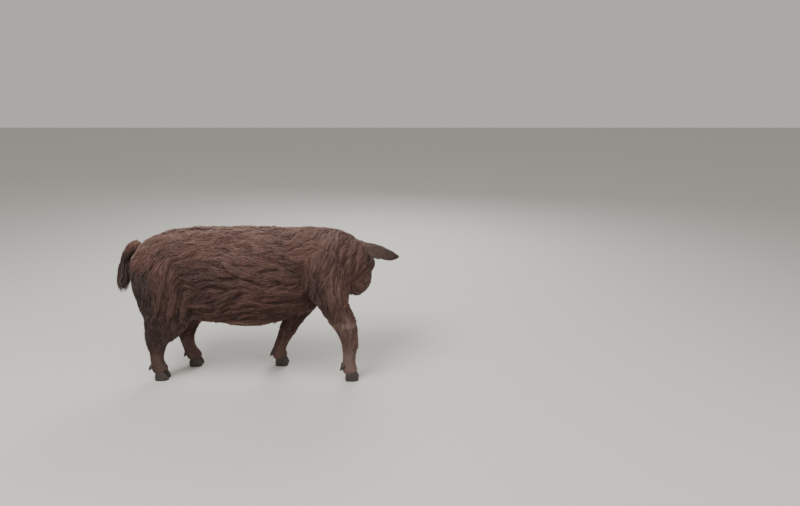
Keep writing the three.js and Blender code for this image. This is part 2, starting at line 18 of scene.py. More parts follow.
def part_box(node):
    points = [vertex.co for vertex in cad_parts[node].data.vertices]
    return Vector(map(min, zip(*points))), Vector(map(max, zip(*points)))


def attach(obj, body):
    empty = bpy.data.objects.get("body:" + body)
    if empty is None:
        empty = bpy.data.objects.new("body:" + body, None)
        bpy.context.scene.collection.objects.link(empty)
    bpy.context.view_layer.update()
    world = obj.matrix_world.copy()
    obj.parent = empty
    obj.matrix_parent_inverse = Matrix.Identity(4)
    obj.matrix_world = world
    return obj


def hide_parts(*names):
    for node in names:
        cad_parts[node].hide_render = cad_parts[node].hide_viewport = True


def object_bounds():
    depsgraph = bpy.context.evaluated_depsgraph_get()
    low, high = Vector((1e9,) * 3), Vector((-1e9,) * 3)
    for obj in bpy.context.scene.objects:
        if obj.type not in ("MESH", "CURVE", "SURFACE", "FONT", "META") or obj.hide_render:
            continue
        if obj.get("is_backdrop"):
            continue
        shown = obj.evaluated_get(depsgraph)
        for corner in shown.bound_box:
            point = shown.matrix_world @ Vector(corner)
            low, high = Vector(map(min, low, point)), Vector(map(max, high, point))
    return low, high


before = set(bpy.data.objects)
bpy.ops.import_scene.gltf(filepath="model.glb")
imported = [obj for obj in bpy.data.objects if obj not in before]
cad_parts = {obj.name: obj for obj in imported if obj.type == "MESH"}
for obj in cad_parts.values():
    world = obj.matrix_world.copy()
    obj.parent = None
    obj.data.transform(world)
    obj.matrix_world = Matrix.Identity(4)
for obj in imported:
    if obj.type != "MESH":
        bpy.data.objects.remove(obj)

cad_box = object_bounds()
rng = np.random.default_rng(20)
UNIT = 0.001  # the named sizes below are in millimetres
print("solids from", [round(c, 3) for c in cad_box[0]], "to", [round(c, 3) for c in cad_box[1]])

# %% [markdown]
# ## Forms that run through stations
# An animal's barrel, neck or leg is a tube whose section changes along its length.
# Each row below is one station: its centre, half width, height above and depth below.
# A smooth curve through the rows gives the section anywhere between them. These are
# the same rows as in the solids, so the skin and the solids agree.

# %% Curves through rows
def unit(v):
    """The same directions with a length of one."""
    return v / np.maximum(np.linalg.norm(v, axis=-1, keepdims=True), 1e-9)


def between(rows, t):
    """Smooth values between the rows, for each t from 0 to 1."""
    place = np.clip(t, 0, 1) * (len(rows) - 1)
    i = np.minimum(place.astype(int), len(rows) - 2)
    f = (place - i)[:, None]
    before, near = rows[np.maximum(i - 1, 0)], rows[i]
    far, after = rows[i + 1], rows[np.minimum(i + 2, len(rows) - 1)]
    held = (2 * f**3 - 3 * f**2 + 1) * near + (3 * f**2 - 2 * f**3) * far
    return held + (f**3 - 2 * f**2 + f) * (far - before) / 2 + (f**3 - f**2) * (after - near) / 2


class Form:
    """A closed tube through rows of x, y, z, half width, height above and depth below."""

    def __init__(self, rows, up=(0, 0, 1), squareness=2.0, hollow=0.0):
        self.rows, self.up = np.array(rows, float), np.array(up, float)
        self.squareness, self.hollow = squareness, hollow

    def frame(self, t):
        ahead = between(self.rows, t + 0.01)[:, :3]
        along = unit(ahead - between(self.rows, t - 0.01)[:, :3])
        side = unit(np.cross(self.up, along))
        return between(self.rows, t), along, side, np.cross(along, side)

    def at(self, t, angle):
        """The points of the surface, in millimetres."""
        row, _, side, rise = self.frame(t)
        c, s = np.cos(angle), np.sin(angle)
        power = 2 / self.squareness
        high = np.where(s > 0, row[:, 4], row[:, 5])
        across = np.sign(c) * np.abs(c) ** power * row[:, 3]
        upward = np.sign(s) * np.abs(s) ** power * high
        upward += self.hollow * across**2 / np.maximum(row[:, 3], 1)
        return row[:, :3] + across[:, None] * side + upward[:, None] * rise


# %% Trunk and neck
BACK_TOP = 750
BELLY_BOTTOM = 280
BARREL = 192  # half width of the barrel
FORMS = {}
FORMS["trunk"] = Form(squareness=2.25, rows=[
    [16, 0, 520, 0, 0, 0],
    [40, 0, 525, 92, 104, 110],
    [100, 0, 528, 142, 164, 165],
    [190, 0, 526, 168, 204, 196],
    [310, 0, 522, 183, 224, 206],
    [450, 0, 520, BARREL, BACK_TOP - 522, 228],
    [590, 0, 520, BARREL + 3, BACK_TOP - 520, 520 - BELLY_BOTTOM],
    [720, 0, 524, 186, BACK_TOP - 527, 216],
    [830, 0, 532, 172, 214, 152],
    [920, 0, 540, 152, 202, 126],
    [990, 0, 545, 118, 164, 108],
    [1035, 0, 545, 0, 0, 0],
])
FORMS["neck"] = Form(squareness=2.1, rows=[
    [790, 0, 600, 0, 0, 0],
    [850, 0, 600, 116, 140, 160],
    [920, 6, 602, 130, 146, 175],
    [980, 22, 600, 128, 138, 172],
    [1030, 50, 594, 118, 122, 158],
    [1062, 88, 586, 92, 94, 124],
    [1078, 122, 580, 0, 0, 0],
])

# %% [markdown]
# ## The head has its own axes
# The head is turned to her left, so its stations are easier to read along its own axes:
# U from the nape to the nose, V to the head's left and W up. One function turns them
# into body coordinates.

# %% Axes of the head
YAW, PITCH = math.radians(70), math.radians(20)
NAPE = np.array([1030.0, 62.0, 592.0])
LEVEL = math.cos(PITCH)  # how much of the head's axis is level
HEAD_AXIS = np.array([math.cos(YAW) * LEVEL, math.sin(YAW) * LEVEL, -math.sin(PITCH)])
HEAD_SIDE = np.array([-math.sin(YAW), math.cos(YAW), 0.0])
HEAD_UP = np.cross(HEAD_AXIS, HEAD_SIDE)
HEAD_AXES = np.array([HEAD_AXIS, HEAD_SIDE, HEAD_UP])
NOSE = 320  # from the nape to the front of the nose disc


def in_head(u, v, w):
    return NAPE + np.array([u, v, w], float) @ HEAD_AXES


def head_form(plan, hand=1, up=HEAD_UP, squareness=2.0):
    """A form from stations along U, V and W; hand -1 makes it for the right side."""
    rows = [[*in_head(u, hand * v, w), *sizes] for u, v, w, *sizes in plan]
    return Form(rows, up, squareness)


FORMS["skull"] = head_form(squareness=2.3, plan=[
    (-60, 0, -4, 0, 0, 0),
    (-34, 0, -4, 88, 72, 104),
    (12, 0, 0, 110, 96, 134),
    (60, 0, 0, 115, 104, 138),
    (106, 0, 0, 103, 90, 126),
    (150, 0, -4, 85, 66, 108),
    (192, 0, -8, 72, 54, 90),
    (232, 0, -10, 64, 49, 76),
    (268, 0, -12, 59, 48, 64),
    (292, 0, -12, 53, 45, 53),
    (302, 0, -12, 0, 0, 0),
])
FORMS["disc"] = head_form(squareness=2.2, plan=[
    (NOSE - 30, 0, -8, 0, 0, 0),
    (NOSE - 25, 0, -8, 44, 40, 40),
    (NOSE - 14, 0, -8, 55, 48, 44),
    (NOSE - 4, 0, -8, 55, 49, 44),
    (NOSE, 0, -8, 48, 42, 38),
    (NOSE + 1, 0, -8, 0, 0, 0),
])
print("nose tip at", np.round(in_head(NOSE, 0, -8)))

# %% [markdown]
# ## Cheeks, brows, lids and lips
# The small forms of the head come in pairs. Each is written once, with the side as a
# sign, and made for both hands. The lids are short fat arcs across each eyeball, which
# leave an almond opening between them.

# %% Paired forms of the head
EYE = (108, 88, 36)
EYE_RADIUS = 15
MOUTH_CORNER = 166
MOUTH_DROP = 50
LEFT_EAR_WAY = (0.7, 0.62, 0.2)
RIGHT_EAR_WAY = (0.5, 0.82, -0.1)
EAR_ROOT = (4, 72, 80)
EAR_PLAN = [  # reach from the root, half width, half thickness and droop
    (-34, 0, 0, 0), (-22, 26, 12, 0), (12, 36, 7, 2), (52, 47, 4, 4), (92, 57, 4, 3),
    (130, 51, 4, -1), (162, 42, 4, -8), (186, 22, 4, -17), (205, 0, 0, -26),
]
CHEEK = [
    (-40, 30, -70, 0, 0, 0), (4, 58, -80, 62, 66, 84), (56, 68, -82, 66, 70, 90),
    (104, 58, -76, 54, 60, 70), (156, 40, -66, 0, 0, 0),
]
BROW = [
    (54, 72, 54, 0, 0, 0), (82, 82, 62, 17, 14, 20), (114, 77, 56, 15, 12, 18),
    (142, 64, 42, 0, 0, 0),
]
SIDES = (("left", 1), ("right", -1))


def lid(hand, lift):
    """An arc over the eyeball (lift above 0) or under it (below 0)."""
    plan = [(-25, -8, 0, 0), (-17, 2, 0.75, 6), (0, 8, 1, 7), (17, 0, 0.75, 6), (26, -10, 0, 0)]
    u, v, w = EYE
    rows = [(u + along, v + out, w + lift * share, *[size] * 3) for along, out, share, size in plan]
    return head_form(rows, hand, up=HEAD_SIDE * hand)


def lip(hand, drop, wide):
    plan = [(158, 64, 0.4, 0, 0, 0), (186, 62, 1, 4, wide, 7), (224, 54, 1, 9, wide, 8),
            (258, 44, 1, 6, wide, 7), (286, 28, 1, 2, 0, 0)]
    return head_form([
        (u, v, -MOUTH_DROP - low - drop * share, size, thick, thick)
        for u, v, share, low, size, thick in plan
    ], hand)


def ear(hand, way):
    forward, sideways, upward = way
    out = unit(np.array([forward, hand * sideways, upward]) @ HEAD_AXES)
    face = unit(np.array([-0.7, -hand * 0.2, 0.7]) @ HEAD_AXES)
    root = in_head(EAR_ROOT[0], hand * EAR_ROOT[1], EAR_ROOT[2])
    rows = [
        [*(root + reach * out + (droop - 8) * face), wide, thick, thick]
        for reach, wide, thick, droop in EAR_PLAN
    ]
    return Form(rows, up=face, hollow=-0.42), out, face


EARS = {"ear_left": ear(1, LEFT_EAR_WAY), "ear_right": ear(-1, RIGHT_EAR_WAY)}
FORMS.update({name: form for name, (form, _, _) in EARS.items()})
for side_name, hand in SIDES:
    made = {
        "cheek": head_form(CHEEK, hand), "brow": head_form(BROW, hand),
        "upper_lid": lid(hand, 12), "lower_lid": lid(hand, -11),
        "upper_lip": lip(hand, -9, 8), "lower_lip": lip(hand, 9, 6),
    }
    FORMS.update({f"{name}_{side_name}": form for name, form in made.items()})

# %% [markdown]
# ## Legs and tail
# A pig's hock and elbow sit close to the body and the cannon is short and upright.
# One plan makes both hind legs and one both forelegs. The stride moves the foot forward
# of a square stance and takes the joints above it part of the way, and the reach of a
# foreleg swings its shoulder and elbow forward.

# %% Legs and tail
CANNON = 27  # half width of the leg above the foot

# Each row: x, share of the reach, share of the stride, y, z, half width, forward, back
HIND_PLAN = [
    (196, 0, 0, 60, 672, 0, 0, 0),
    (196, 0, 0, 90, 624, 70, 116, 118),
    (196, 0, 0.06, 108, 535, 88, 156, 142),
    (196, 0, 0.18, 110, 440, 84, 150, 126),
    (186, 0, 0.38, 103, 350, 68, 118, 96),
    (166, 0, 0.56, 94, 275, 52, 82, 80),
    (142, 0, 0.7, 87, 212, 38, 50, 56),
    (134, 0, 0.8, 82, 150, CANNON, 33, 36),
    (132, 0, 0.92, 80, 96, CANNON, 31, 31),
    (140, 0, 1, 80, 60, 32, 37, 33),
    (147, 0, 1, 80, 42, 30, 36, 30),
    (148, 0, 1, 80, 34, 0, 0, 0),
]
FORE_PLAN = [
    (850, 0.3, 0, 62, 700, 0, 0, 0),
    (856, 0.45, 0, 94, 640, 56, 84, 92),
    (872, 0.7, 0, 112, 555, 68, 108, 106),
    (884, 0.9, 0.05, 114, 470, 64, 88, 84),
    (884, 1, 0.16, 108, 390, 55, 60, 60),
    (884, 1, 0.38, 100, 315, 45, 50, 52),
    (886, 0.8, 0.6, 93, 245, 36, 41, 42),
    (888, 0.6, 0.74, 89, 195, 34, 38, 37),
    (888, 0.4, 0.84, 86, 145, CANNON, 31, 32),
    (888, 0.2, 0.94, 86, 96, CANNON, 31, 31),
    (896, 0, 1, 86, 60, 32, 37, 33),
    (903, 0, 1, 86, 42, 30, 36, 30),
    (904, 0, 1, 86, 34, 0, 0, 0),
]


def leg(plan, side, stride, reach=0):
    """A leg, its side of the body and its foot."""
    rows = [[x + reach * far + stride * share, side * y, *rest] for x, far, share, y, *rest in plan]
    foot = (plan[-3][0] + stride, plan[-3][3])
    return Form(rows, up=(1, 0, 0), squareness=2.1), side, foot


LEGS = {
    "hindleg_right": leg(HIND_PLAN, -1, -30),
    "hindleg_left": leg(HIND_PLAN, 1, 92),
    "foreleg_right": leg(FORE_PLAN, -1, 165, 95),
    "foreleg_left": leg(FORE_PLAN, 1, -215),
}
FORMS.update({name: form for name, (form, _, _) in LEGS.items()})
FORMS["tail"] = Form(up=(1, 0, 0.2), rows=[
    [66, 0, 668, 0, 0, 0],
    [40, 0, 672, 27, 25, 27],
    [6, 0, 655, 23, 22, 23],
    [-22, 2, 616, 20, 19, 20],
    [-40, 6, 568, 18, 17, 18],
    [-52, 9, 522, 17, 16, 16],
    [-60, 11, 484, 0, 0, 0],
])

low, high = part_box("eye_left")
shift = np.array((low + high) / 2) / UNIT - in_head(*EYE)
print(len(FORMS), "forms, moved by", np.round(shift, 1), "mm into the frame")


def placed(points):
    """Body coordinates in millimetres to the frame in metres."""
    return (points + shift) * UNIT


# %% [markdown]
# ## One closed skin
# Each form starts as a ball from create_uvsphere whose points are moved to the form.
# The balls overlap. A voxel Remesh makes one closed surface of them, and relaxing melts
# the joints, as flesh does. A Boolean join would leave hard creases.

# %% Balls moved to their forms
def shaped_ball(form, rings=44, sides=40):
    bm = bmesh.new()
    bmesh.ops.create_uvsphere(bm, u_segments=sides, v_segments=rings, radius=1.0)
    ball = np.array([v.co for v in bm.verts])
    t = np.arccos(np.clip(ball[:, 2], -1, 1)) / math.pi
    t = 0.65 * t + 0.175 * (1 - np.cos(math.pi * t))
    for vert, place in zip(bm.verts, placed(form.at(t, np.arctan2(ball[:, 1], ball[:, 0])))):
        vert.co = place
    bmesh.ops.recalc_face_normals(bm, faces=bm.faces)
    return bm


def mesh_from(bm, name):
    mesh = bpy.data.meshes.new(name)
    bm.to_mesh(mesh)
    bm.free()
    return mesh


def new_object(name, data):
    made = bpy.data.objects.new(name, data)
    bpy.context.scene.collection.objects.link(made)
    return made


def finished(thing):
    """Applies the live modifiers of an object to its mesh."""
    graph = bpy.context.evaluated_depsgraph_get()
    mesh = bpy.data.meshes.new_from_object(thing.evaluated_get(graph))
    thing.modifiers.clear()
    thing.data = mesh


flesh = bpy.data.meshes.new("flesh")
gathered = bmesh.new()
for form in FORMS.values():
    bm = shaped_ball(form)
    bm.to_mesh(flesh)
    bm.free()
    gathered.from_mesh(flesh)
gathered.to_mesh(flesh)
gathered.free()
skin = new_object("skin", flesh)
VOXEL = 0.0032 * 1.0
remesh = skin.modifiers.new("One surface", "REMESH")
remesh.mode = "VOXEL"
remesh.voxel_size = VOXEL
finished(skin)
print("skin:", len(skin.data.vertices), "points after the remesh")


# %% [markdown]
# ## The skin as arrays
# These functions read and write points as one array, average over neighbours and turn
# places to the axes of the head or the body.

# %% Arrays and places
def read(items, key, width=3, kind=np.float32):
    out = np.empty(len(items) * width, kind)
    items.foreach_get(key, out)
    return out.reshape(-1, width)


def points_of(mesh):
    return read(mesh.vertices, "co").astype(float)


def normals_of(mesh):
    mesh.update()
    return read(mesh.vertices, "normal").astype(float)


def write(items, key, values, kind=np.float32):
    items.foreach_set(key, values.astype(kind).ravel())


def set_points(mesh, co):
    write(mesh.vertices, "co", co)
    mesh.update()


def around_average(values, pairs):
    """The mean of each point's neighbours along the edges."""
    values = values.reshape(len(values), -1)
    a, b = pairs.T
    count = np.bincount(np.concatenate([a, b]), minlength=len(values))
    out = np.empty_like(values)
    for k in range(values.shape[1]):
        column = values[:, k]
        total = np.bincount(a, column[b], len(values)) + np.bincount(b, column[a], len(values))
        out[:, k] = total / np.maximum(count, 1)
    return out


def ease(low, high, value):
    """From 0 at low to 1 at high, also where low is the larger of the two."""
    share = np.clip((value - low) / (high - low), 0, 1)
    return share * share * (3 - 2 * share)


def tree_of(points):
    """A search tree that finds the nearest of these points."""
    tree = kdtree.KDTree(len(points))
    for i, p in enumerate(points):
        tree.insert(p, i)
    tree.balance()
    return tree


def nearest(tree, points):
    """For each point, the index of the nearest one in the tree."""
    return np.array([tree.find(p)[1] for p in points])


def to_head(points):
    """Frame coordinates to the head's U, V and W in millimetres."""
    return (points / UNIT - shift - NAPE) @ HEAD_AXES.T


def to_body(points):
    return points / UNIT - shift


# %% [markdown]
# ## Joints melt, thin parts keep their shape
# Each round moves every point towards the middle of its neighbours: half way on the body,
# hardly on the face and not at all near the thin ears. A few last gentle rounds take the
# steps of the grid off those parts too.

# %% Relaxing
MELTING, SMOOTHING = 26, 3  # rounds
FACE_WIDTH, FACE_HEIGHT = 130, 170  # to each side of the head's axis
co = points_of(skin.data)
pairs = read(skin.data.edges, "vertices", 2, np.int32)
u, v, w = to_head(co).T
face = ease(40, 90, u) * (np.abs(v) < FACE_WIDTH) * (np.abs(w) < FACE_HEIGHT)
stations, angles = np.linspace(0.2, 1, 40), np.linspace(-math.pi, math.pi, 25)
grid_t, grid_a = (grid.ravel() for grid in np.meshgrid(stations, angles))
ear_tree = tree_of(np.concatenate([placed(form.at(grid_t, grid_a)) for form, _, _ in EARS.values()]))
ear_near = np.array([ear_tree.find(p)[2] for p in co])
melt = 0.5 * (1 - 0.85 * face) * ease(4 * UNIT, 20 * UNIT, ear_near)
for _ in range(MELTING):
    co += melt[:, None] * (around_average(co, pairs) - co)
thin = np.clip(0.35 - melt, 0, 0.3)[:, None]
for _ in range(SMOOTHING):
    co += thin * (around_average(co, pairs) - co)
set_points(skin.data, co)
print("relaxed; skin spans", np.round(np.ptp(co, axis=0), 3))

# %% [markdown]
# ## Folds and the line of the mouth
# Bare skin on a pig's face is folded where it moves: across the snout, round the eyes
# and behind the mouth. Small waves push the points of the skin along their normals. The
# line of the mouth is a groove with a swelling on both sides.

# %% Folds of the face
LINE_DEPTH, LINE_WIDTH = 5.5, 2.8  # of the line of the mouth
LIP_HEIGHT, LIP_OFF, LIP_WIDTH = 1.8, 8, 5  # of the swelling above and below it
FOLDS = {"snout": (1.5, 14), "eye": (1.3, 8), "jowl": (2.2, 24), "chin": (1.2, 17)}  # height, spacing
DISC_BACK = NOSE - 26


def ridge(off, width):
    """1 on a line and less to both sides, down to 0 at about twice the width."""
    return np.exp(-((off / width) ** 2))


def folds(name, zone, place):
    """Waves along a place in millimetres, as high as the zone lets them be."""
    height, spacing = FOLDS[name]
    return height * zone * np.cos(2 * math.pi * place / spacing)


normal = normals_of(skin.data)
u, v, w = to_head(co).T
on_head = (np.abs(v) < 150) & (u > -60) & (u < NOSE + 20)

mouth_line = -MOUTH_DROP - 9 * np.sin((u - MOUTH_CORNER) / 150 * math.pi * 0.9)
off_mouth = w - mouth_line
sideways = np.abs(normal @ HEAD_SIDE)
mouth_reach = ease(MOUTH_CORNER - 4, MOUTH_CORNER + 14, u) * (u < DISC_BACK)
mouth_reach *= ease(0.25, 0.6, sideways)
push = -LINE_DEPTH * mouth_reach * ridge(off_mouth, LINE_WIDTH)
lips = ridge(off_mouth - LIP_OFF, LIP_WIDTH) + ridge(off_mouth + LIP_OFF, LIP_WIDTH)
push += LIP_HEIGHT * mouth_reach * lips

snout = ease(176, 205, u) * ease(DISC_BACK, DISC_BACK - 18, u) * ease(-38, -16, w)
push += folds("snout", snout, u + 0.12 * np.abs(v) + 3 * np.sin(v / 17))

from_eye = np.hypot(u - EYE[0], (w - EYE[2]) * 1.15)
round_eye = np.arctan2(w - EYE[2], u - EYE[0])
eye_zone = ease(19, 24, from_eye) * ease(52, 34, from_eye)
eye_zone *= ease(35, 62, np.abs(v))
push += folds("eye", eye_zone, from_eye + 2 * np.sin(round_eye * 3))

jowl = ease(60, 90, u) * ease(MOUTH_CORNER + 8, MOUTH_CORNER - 12, u)
jowl *= ease(-20, -45, w)
push += folds("jowl", jowl, u + 0.35 * w)

chin = ease(190, 215, u) * ease(-70, -84, w) * (u < 285)
push += folds("chin", chin, u)
co += (push * on_head)[:, None] * UNIT * normal
print("deepest fold", round(float(-push.min()), 1), "mm")

# %% [markdown]
# ## Nose disc and teats
# The nostrils are two pits in the nose disc, each with a raised rim. The disc is a little
# hollow and has a groove under the nostrils and a worn edge. Two rows of six teats stand
# out of the belly.

# %% Nose disc and teats
NOSTRIL = (22, -3)  # sideways and up from the disc's middle line
NOSTRIL_SIZE = (9.5, 12.5)
NOSTRIL_DEPTH, NOSTRIL_RIM = 19, 1.6
DISH_DEPTH, GROOVE_DEPTH, EDGE_WEAR = 2.4, 2.6, 5.0
side_off = (np.abs(v) - NOSTRIL[0] - 0.15 * (w - NOSTRIL[1])) / NOSTRIL_SIZE[0]
pit = side_off**2 + ((w - NOSTRIL[1]) / NOSTRIL_SIZE[1]) ** 2
at_disc = on_head & (u > NOSE - 12)
sink = NOSTRIL_DEPTH * np.clip(1 - pit, 0, 1) ** 0.45 - NOSTRIL_RIM * ridge(np.sqrt(pit) - 1.25, 0.22)
from_middle = np.hypot(v / 53, (w + 10) / 47)  # 1 at the edge of the disc
dish = DISH_DEPTH * ease(0.8, 0.1, from_middle)
groove = GROOVE_DEPTH * ridge(v, 4.5) * ease(-12, -26, w)
worn_edge = EDGE_WEAR * ease(0.8, 1.06, from_middle)
co -= (at_disc * (sink + dish + groove + worn_edge))[:, None] * UNIT * HEAD_AXIS

TEAT_LENGTH, TEAT_WIDTH = 16, 7
FIRST_TEAT, LAST_TEAT, TEAT_SPACING = 335, 695, 72  # along the belly
TEAT_APART = 58  # from the middle of the belly to each row
belly_x, belly_y, _ = to_body(co).T
half_way = TEAT_SPACING / 2
along_row = np.abs((belly_x - FIRST_TEAT + half_way) % TEAT_SPACING - half_way)
outside = np.maximum(FIRST_TEAT - half_way - belly_x, belly_x - LAST_TEAT - half_way)
from_teat = np.hypot(np.maximum(along_row, outside), np.abs(belly_y) - TEAT_APART)
from_teat += 100 * (normal[:, 2] > -0.4)  # none where the skin doesn't face down
co += (TEAT_LENGTH * ridge(from_teat, TEAT_WIDTH))[:, None] * UNIT * normal
set_points(skin.data, co)
print("nostrils", round(float(sink.max()), 1), "mm deep")

# %% [markdown]
# ## The lie of the coat
# Hair leans away from the nose, runs back along the barrel and down the legs. Each
# point takes the direction of the form it is nearest to. Averaging then turns them
# gently, which gives the arcs round a shoulder. On the ears the hair leans out over the
# edges, as a fringe.

# %% Nearest form and direction
COATED = [name for name in FORMS if not name.startswith(("upper", "lower", "brow"))]
stations, angles = np.linspace(0.02, 0.98, 70), np.linspace(-math.pi, math.pi, 72, endpoint=False)
grid_t, grid_a = (grid.ravel() for grid in np.meshgrid(stations, angles))
atlas_tree = tree_of(np.concatenate([placed(FORMS[name].at(grid_t, grid_a)) for name in COATED]))

WAYS = {name: -HEAD_AXIS - 0.3 * HEAD_UP for name in COATED}  # away from the nose
WAYS.update({name: out for name, (_, out, _) in EARS.items()}, **dict.fromkeys(LEGS, (-0.22, 0, -1)))
WAYS.update(neck=(-0.75, -0.35, -0.7), tail=(-0.35, 0.05, -1.0))


def lie_of(name, body):
    """Where hair on a form leans, as directions for points in body millimetres."""
    if name != "trunk":
        return np.tile(WAYS[name], (len(body), 1))
    fall = 0.06 + 1.5 * ease(130, 10, body[:, 0]) + 0.9 * ease(900, 1010, body[:, 0])
    return np.stack([-np.ones(len(body)), np.zeros(len(body)), -fall], axis=1)


def wander(points, size, seed):
    """Smooth random values from -1 to 1 that change over about size millimetres."""
    table = np.random.default_rng(seed).uniform(-1, 1, (32, 32, 32))
    place = points / size + 500
    cell = np.floor(place).astype(int)
    f = place - cell
    f = f * f * (3 - 2 * f)
    total = 0
    for corner in range(8):
        pick = np.array([corner & 1, corner >> 1 & 1, corner >> 2 & 1])
        i, j, k = ((cell + pick) % 32).T
        total = total + table[i, j, k] * np.prod(np.where(pick, f, 1 - f), axis=1)
    return total


TURNING = 70  # rounds of averaging
EAR_FRINGE = 0.9  # how far the hair of the ears leans outwards
co = points_of(skin.data)
normal = normals_of(skin.data)
body = to_body(co)
form_index, place = np.divmod(nearest(atlas_tree, co), len(grid_t))
form_t, form_angle = grid_t[place], grid_a[place]
lie = np.zeros_like(co)
for k, name in enumerate(COATED):
    own = form_index == k
    lie[own] = unit(lie_of(name, body[own]))
for _ in range(TURNING):
    lie = around_average(lie, pairs)
for name in EARS:
    own = np.flatnonzero(form_index == COATED.index(name))
    middle = placed(FORMS[name].frame(form_t[own])[0][:, :3])
    lie[own] += EAR_FRINGE * unit(co[own] - middle)
lie = unit(lie - np.sum(lie * normal, axis=1, keepdims=True) * normal)  # flat on the skin
swirl = 0.4 * wander(body, 110, 1) + 0.75 * wander(body, 46, 2)  # the waves of the wool
across = np.cross(normal, lie)
lie = lie * np.cos(swirl)[:, None] + across * np.sin(swirl)[:, None]
print("coated forms:", ", ".join(COATED))

# %% [markdown]
# ## How long the coat is
# On the barrel the curls are about 50 mm long. They shorten down the legs and over the
# cheeks to a few millimetres on the face, and the nose disc is bare.

# %% Coat length in millimetres
EVEN_LENGTHS = {"neck": 42, "tail": 22, "ear_left": 19, "ear_right": 19, "disc": 0}
LENGTH_ROUNDS = 50  # of averaging, so that one length passes into the next


def coat_length(name, height, reach):
    """Lengths on a form, by height over the floor and by reach from nape to nose."""
    if name in EVEN_LENGTHS:
        return np.full(len(height), EVEN_LENGTHS[name])
    if name == "trunk":
        return 46 - 8 * ease(340, 290, height)
    if name in LEGS:
        return 13 + 13 * ease(110, 220, height) + 24 * ease(230, 400, height)
    if name.startswith("cheek"):
        return 11 + 24 * ease(115, 10, reach)
    return 9 + 27 * ease(140, 20, reach)


u, v, w = to_head(co).T
length = np.zeros(len(co))
for k, name in enumerate(COATED):
    own = form_index == k
    length[own] = coat_length(name, body[own, 2], u[own])
for _ in range(LENGTH_ROUNDS):
    length = around_average(length, pairs)[:, 0]
length *= 1 - ease(NOSE - 36, NOSE - 28, u) * (np.abs(v) < 90)
from_eyes = np.sqrt((u - EYE[0]) ** 2 + (np.abs(v) - EYE[1]) ** 2 + (w - EYE[2]) ** 2)
length *= ease(19, 30, from_eyes)
length *= 0.15 + 0.85 * ease(5, 22, from_teat)
depth = ease(6, 50, length)  # how much the coat gathers in rolls
print("coat from", round(float(length.min())), "to", round(float(length.max())), "mm")

# %% [markdown]
# ## Rolls of wool
# The hair gathers in wavy rolls 15 to 25 mm wide and up to 200 mm long. Random values
# are drawn out along the lie of the coat: each point averages with the points one step
# ahead and behind, again and again. A roll's crest lies where the value is far from zero.

# %% Rolls along the lie
STEP = 12 * UNIT
WIDENING, DRAWING_OUT = 14, 13  # rounds of averaging, round each point and along the lie
ROLL_HEIGHT = 14
skin_tree = tree_of(co)
ahead = nearest(skin_tree, co + lie * STEP)
behind = nearest(skin_tree, co - lie * STEP)
rolls = rng.normal(size=(len(co), 1))
for _ in range(WIDENING):
    rolls += 0.6 * (around_average(rolls, pairs) - rolls)
rolls = rolls[:, 0]
for _ in range(DRAWING_OUT):
    rolls = (rolls + rolls[ahead] + rolls[behind]) / 3
rolls /= rolls.std()
crest = np.clip(np.abs(rolls) / 1.15, 0, 1) ** 0.65  # 0 in a valley and 1 on a broad crest
MIDDLE_CREST = 0.45
lumps = 2.2 * wander(body, 75, 3) + 1.8 * wander(body, 20, 4)
co += ((ROLL_HEIGHT * (crest - MIDDLE_CREST) + lumps) * depth)[:, None] * UNIT * normal
set_points(skin.data, co)
normal = normals_of(skin.data)
skin_tree = tree_of(co)
print("rolls stand", ROLL_HEIGHT, "mm over their valleys")

# %% [markdown]
# ## Markings and painted light
# The coat is red brown. It is greyer and lighter along the back and on the neck, and darker
# on the ham. Painted light makes the crest of each roll lighter and greyer and the belly
# paler, and painted shade darkens the valleys between the rolls. The skin carries the same
# two values as the coat, so they match where hair is thin.

# %% Markings and painted light as two values per point
u, v, w = to_head(co).T
from_rump, height = body[:, 0], body[:, 2]
back = ease(560, 745, height)
neck = ease(930, 1060, from_rump)
ham = ease(230, 90, from_rump) * ease(720, 560, height)
rump_top = ease(170, 60, from_rump) * ease(560, 680, height)
# Painted light: the belly is made lighter and greyer, to lift the shade that the lamps from above leave
# under it.
painted_belly_light = ease(380, 300, height)
leg_end = ease(230, 110, height)
muzzle = ease(120, 230, u) * (np.abs(w) < 200)
on_ear = np.isin(form_index, [COATED.index(name) for name in EARS])
STREAK_HEIGHT, STREAK_WIDTH = 318, 12  # a paler line low on the flank
streak = ridge(height - STREAK_HEIGHT - 10 * wander(body, 90, 5), STREAK_WIDTH) * (from_rump > 330)
# The crest terms in light and grey are painted light on the crest of each roll and painted shade in the
# valleys between the rolls.
light = 0.15 + 0.24 * crest * depth + 0.08 * wander(body, 110, 6) + 0.35 * streak
light += np.maximum(0.27 * back, 0.24 * neck) - 0.2 * ham + 0.12 * painted_belly_light + 0.28 * leg_end
light += 0.26 * rump_top + 0.05 * muzzle + on_ear * (0.1 - 0.3 * form_t)
grey = 0.17 + 0.15 * crest * depth + 0.12 * wander(body, 70, 7)
grey += np.maximum(0.35 * back, 0.3 * neck) + 0.2 * painted_belly_light + 0.5 * leg_end + 0.1 * muzzle + 0.5 * on_ear
light, grey = np.clip(light, 0, 1), np.clip(grey, 0, 1)
print("light", round(float(light.mean()), 2), "grey", round(float(grey.mean()), 2))

# %% [markdown]
# ## Materials
# Every colour is an sRGB hex value that one function turns to linear, and one function
# adds a node. The coat reads four values that each tuft carries: light and grey from the
# markings and painted light, tone from tuft to tuft, and tip from root to end, which the
# coat uses to paint shade at the root of each tuft.

# %% Colours and nodes
def linear(code):
    """An sRGB hex colour as linear RGBA."""
    parts = [int(code[i : i + 2], 16) / 255 for i in (1, 3, 5)]
    return [c / 12.92 if c <= 0.04045 else ((c + 0.055) / 1.055) ** 2.4 for c in parts] + [1.0]


def new_material(name):
    made = bpy.data.materials.new(name)
    made.use_nodes = True
    made.node_tree.nodes.clear()
    return made, made.node_tree


